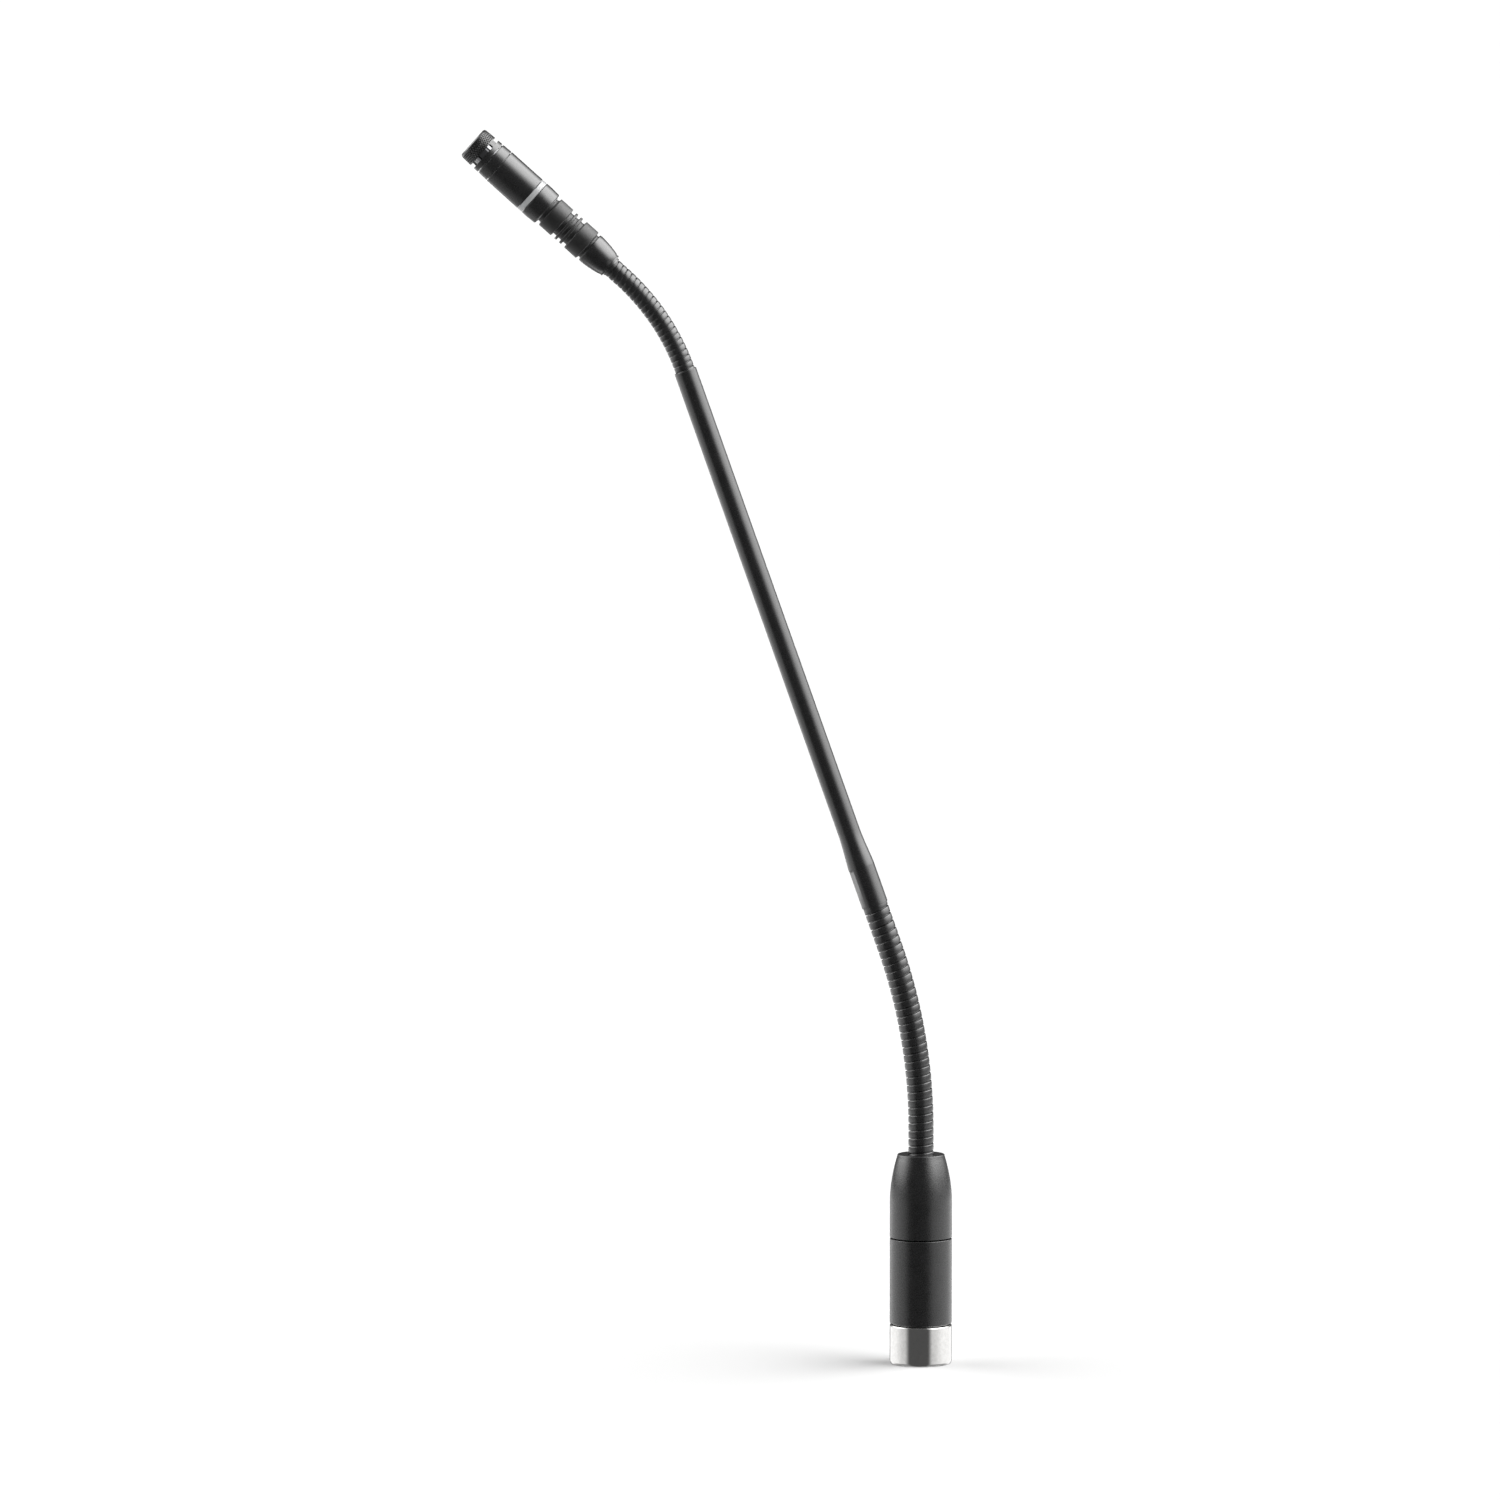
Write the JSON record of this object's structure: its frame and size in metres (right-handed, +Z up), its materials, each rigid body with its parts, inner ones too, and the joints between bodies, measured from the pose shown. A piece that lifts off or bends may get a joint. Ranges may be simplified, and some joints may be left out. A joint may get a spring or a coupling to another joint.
{
  "type": "gooseneck podium microphone",
  "caption": "Slim condenser microphone on a two-section gooseneck with a rigid tube between, a light ring behind the capsule, and a round plug base.",
  "frame": {"origin": "centre of the plug insert's contact face, on the base's axis, 12.5 mm above the plug's open end", "axes": "+Z up along the base's axis, out of the plug towards the neck; the neck leans towards -X in the XZ plane; +Y away from a viewer who faces the neck's side"},
  "size_m": [0.1495, 0.019, 0.3781],
  "materials": {
    "shell_metal": "bright nickel plate with fine turning marks",
    "black_housing": "matte black, fine powder grain",
    "black_metal": "satin black anodised",
    "black_flex": "satin black coating over wound wire",
    "black_rubber": "dull moulded rubber",
    "black_mesh": "black perforated plate",
    "light_plastic": "frosted translucent ring",
    "brass": "turned",
    "gold": "gold plated",
    "steel": "zinc plated",
    "insulator": "moulded thermoplastic",
    "board": "solder-resist green",
    "chip": "moulded package",
    "can": "drawn can",
    "cable": "jacket",
    "seal": "seal ring",
    "diode": "light source package"
  },
  "bodies": {
    "base": {"plug_shell": "shell_metal", "plug_insert": "insulator", "contact_pin_1": "gold", "contact_pin_2": "gold", "contact_pin_3": "gold", "contact_pin_4": "gold", "contact_pin_5": "gold", "lower_housing": "black_housing", "upper_housing": "black_housing", "neck_anchor": "brass", "anchor_set_screw": "steel", "preamp_board": "board", "board_chip": "chip", "board_capacitor_1": "can", "board_capacitor_2": "can", "ground_spring": "steel", "base_cable": "cable"},
    "lower_link_01": {"lower_flex_01": "black_flex"},
    "lower_link_02": {"lower_flex_02": "black_flex"},
    "lower_link_03": {"lower_flex_03": "black_flex"},
    "lower_link_04": {"lower_flex_04": "black_flex"},
    "lower_link_05": {"lower_flex_05": "black_flex"},
    "lower_link_06": {"lower_flex_06": "black_flex"},
    "lower_link_07": {"lower_flex_07": "black_flex"},
    "lower_link_08": {"lower_flex_08": "black_flex"},
    "lower_link_09": {"lower_flex_09": "black_flex"},
    "lower_link_10": {"lower_flex_10": "black_flex"},
    "lower_link_11": {"lower_flex_11": "black_flex"},
    "tube": {"neck_tube": "black_metal", "lower_sleeve": "brass", "upper_sleeve": "brass", "neck_cable": "cable"},
    "upper_link_01": {"upper_flex_01": "black_flex"},
    "upper_link_02": {"upper_flex_02": "black_flex"},
    "upper_link_03": {"upper_flex_03": "black_flex"},
    "upper_link_04": {"upper_flex_04": "black_flex"},
    "upper_link_05": {"upper_flex_05": "black_flex"},
    "upper_link_06": {"upper_flex_06": "black_flex"},
    "upper_link_07": {"upper_flex_07": "black_flex"},
    "ferrule": {"ferrule_bush": "brass", "cone_ferrule": "black_metal"},
    "isolator": {"rubber_isolator": "black_rubber"},
    "head": {"rear_barrel": "black_metal", "head_spigot": "brass", "light_ring": "light_plastic", "head_barrel": "black_metal", "ring_carrier": "insulator", "light_board": "board", "light_diode_1": "diode", "light_diode_2": "diode", "head_board": "board", "head_chip": "chip", "contact_spring": "gold"},
    "seal": {"seal_ring": "seal"},
    "capsule": {"capsule_housing": "black_metal", "capsule_contact": "gold", "condenser_capsule": "can", "capsule_clamp_ring": "brass", "front_cap": "black_metal", "front_mesh": "black_mesh"}
  },
  "joints": [
    {"name": "lower_bend", "type": "hinge", "parent": "base", "child": "lower_link_01", "pos_m": [0, 0, 0.05538], "axis": [0, 1, 0], "range_deg": [-11.75, 18.25], "stiffness_Nm_per_rad": 3},
    {"name": "lower_side", "type": "hinge", "parent": "lower_link_01", "child": "lower_link_02", "pos_m": [-0.00001, 0, 0.06194], "axis": [0.9999, 0, 0.0127], "range_deg": [-15, 15], "stiffness_Nm_per_rad": 3},
    {"name": "lower_bend_2", "type": "hinge", "parent": "lower_link_02", "child": "lower_link_03", "pos_m": [-0.00022, 0, 0.06849], "axis": [0, 1, 0], "range_deg": [-11.75, 18.25], "stiffness_Nm_per_rad": 3},
    {"name": "lower_side_2", "type": "hinge", "parent": "lower_link_03", "child": "lower_link_04", "pos_m": [-0.00069, 0, 0.07503], "axis": [0.9959, 0, 0.0903], "range_deg": [-15, 15], "stiffness_Nm_per_rad": 3},
    {"name": "lower_bend_3", "type": "hinge", "parent": "lower_link_04", "child": "lower_link_05", "pos_m": [-0.00141, 0, 0.08155], "axis": [0, 1, 0], "range_deg": [-11.75, 18.25], "stiffness_Nm_per_rad": 3},
    {"name": "lower_side_3", "type": "hinge", "parent": "lower_link_05", "child": "lower_link_06", "pos_m": [-0.00238, 0, 0.08804], "axis": [0.9859, 0, 0.1674], "range_deg": [-15, 15], "stiffness_Nm_per_rad": 3},
    {"name": "lower_bend_4", "type": "hinge", "parent": "lower_link_06", "child": "lower_link_07", "pos_m": [-0.0036, 0, 0.09448], "axis": [0, 1, 0], "range_deg": [-11.75, 18.25], "stiffness_Nm_per_rad": 3},
    {"name": "lower_side_4", "type": "hinge", "parent": "lower_link_07", "child": "lower_link_08", "pos_m": [-0.00508, 0, 0.10087], "axis": [0.9699, 0, 0.2435], "range_deg": [-15, 15], "stiffness_Nm_per_rad": 3},
    {"name": "lower_bend_5", "type": "hinge", "parent": "lower_link_08", "child": "lower_link_09", "pos_m": [-0.0068, 0, 0.1072], "axis": [0, 1, 0], "range_deg": [-11.75, 18.25], "stiffness_Nm_per_rad": 3},
    {"name": "lower_side_5", "type": "hinge", "parent": "lower_link_09", "child": "lower_link_10", "pos_m": [-0.00876, 0, 0.11346], "axis": [0.948, 0, 0.3181], "range_deg": [-15, 15], "stiffness_Nm_per_rad": 3},
    {"name": "lower_bend_6", "type": "hinge", "parent": "lower_link_10", "child": "lower_link_11", "pos_m": [-0.01093, 0, 0.11964], "axis": [0, 1, 0], "range_deg": [-11.75, 18.25], "stiffness_Nm_per_rad": 3},
    {"name": "lower_side_6", "type": "hinge", "parent": "lower_link_11", "child": "tube", "pos_m": [-0.01312, 0, 0.12583], "axis": [0.9426, 0, 0.3338], "range_deg": [-15, 15], "stiffness_Nm_per_rad": 3},
    {"name": "upper_bend", "type": "hinge", "parent": "tube", "child": "upper_link_01", "pos_m": [-0.07297, 0, 0.2947], "axis": [0, 1, 0], "range_deg": [-11.5, 18.5], "stiffness_Nm_per_rad": 0.8},
    {"name": "upper_side", "type": "hinge", "parent": "upper_link_01", "child": "upper_link_02", "pos_m": [-0.07495, 0, 0.29924], "axis": [0.9017, 0, 0.4323], "range_deg": [-15, 15], "stiffness_Nm_per_rad": 0.8},
    {"name": "upper_bend_2", "type": "hinge", "parent": "upper_link_02", "child": "upper_link_03", "pos_m": [-0.07725, 0, 0.30364], "axis": [0, 1, 0], "range_deg": [-11.5, 18.5], "stiffness_Nm_per_rad": 0.8},
    {"name": "upper_side_2", "type": "hinge", "parent": "upper_link_03", "child": "upper_link_04", "pos_m": [-0.07986, 0, 0.30786], "axis": [0.8313, 0, 0.5558], "range_deg": [-15, 15], "stiffness_Nm_per_rad": 0.8},
    {"name": "upper_bend_3", "type": "hinge", "parent": "upper_link_04", "child": "upper_link_05", "pos_m": [-0.08276, 0, 0.31188], "axis": [0, 1, 0], "range_deg": [-11.5, 18.5], "stiffness_Nm_per_rad": 0.8},
    {"name": "upper_side_3", "type": "hinge", "parent": "upper_link_05", "child": "upper_link_06", "pos_m": [-0.08595, 0, 0.31569], "axis": [0.7441, 0, 0.6681], "range_deg": [-15, 15], "stiffness_Nm_per_rad": 0.8},
    {"name": "upper_bend_4", "type": "hinge", "parent": "upper_link_06", "child": "upper_link_07", "pos_m": [-0.08939, 0, 0.31926], "axis": [0, 1, 0], "range_deg": [-11.5, 18.5], "stiffness_Nm_per_rad": 0.8},
    {"name": "upper_side_4", "type": "hinge", "parent": "upper_link_07", "child": "ferrule", "pos_m": [-0.09305, 0, 0.32261], "axis": [0.6691, 0, 0.7431], "range_deg": [-15, 15], "stiffness_Nm_per_rad": 0.8},
    {"name": "isolator_nod", "type": "hinge", "parent": "ferrule", "child": "isolator", "pos_m": [-0.10147, 0, 0.3302], "axis": [0, 1, 0], "range_deg": [-5, 5], "stiffness_Nm_per_rad": 0.6},
    {"name": "isolator_sway", "type": "hinge", "parent": "isolator", "child": "head", "pos_m": [-0.11371, 0, 0.34122], "axis": [0.6691, 0, 0.7431], "range_deg": [-5, 5], "stiffness_Nm_per_rad": 0.6},
    {"name": "capsule_advance", "type": "slide", "parent": "head", "child": "seal", "axis": [-0.7431, 0, 0.6691], "range_m": [0, 0.002]},
    {"name": "capsule_unscrew", "type": "hinge", "parent": "seal", "child": "capsule", "pos_m": [-0.12859, 0, 0.35462], "axis": [-0.7431, 0, 0.6691], "range_deg": [0, 1440]}
  ],
  "couplings": [
    {"joint": "lower_bend_2", "follows": "lower_bend", "ratio": 1},
    {"joint": "lower_side_2", "follows": "lower_side", "ratio": 1},
    {"joint": "lower_bend_3", "follows": "lower_bend", "ratio": 1},
    {"joint": "lower_side_3", "follows": "lower_side", "ratio": 1},
    {"joint": "lower_bend_4", "follows": "lower_bend", "ratio": 1},
    {"joint": "lower_side_4", "follows": "lower_side", "ratio": 1},
    {"joint": "lower_bend_5", "follows": "lower_bend", "ratio": 1},
    {"joint": "lower_side_5", "follows": "lower_side", "ratio": 1},
    {"joint": "lower_bend_6", "follows": "lower_bend", "ratio": 1},
    {"joint": "lower_side_6", "follows": "lower_side", "ratio": 1},
    {"joint": "upper_bend_2", "follows": "upper_bend", "ratio": 1},
    {"joint": "upper_side_2", "follows": "upper_side", "ratio": 1},
    {"joint": "upper_bend_3", "follows": "upper_bend", "ratio": 1},
    {"joint": "upper_side_3", "follows": "upper_side", "ratio": 1},
    {"joint": "upper_bend_4", "follows": "upper_bend", "ratio": 1},
    {"joint": "upper_side_4", "follows": "upper_side", "ratio": 1},
    {"joint": "capsule_advance", "follows": "capsule_unscrew", "m_per_rad": 0.000079577}
  ]
}
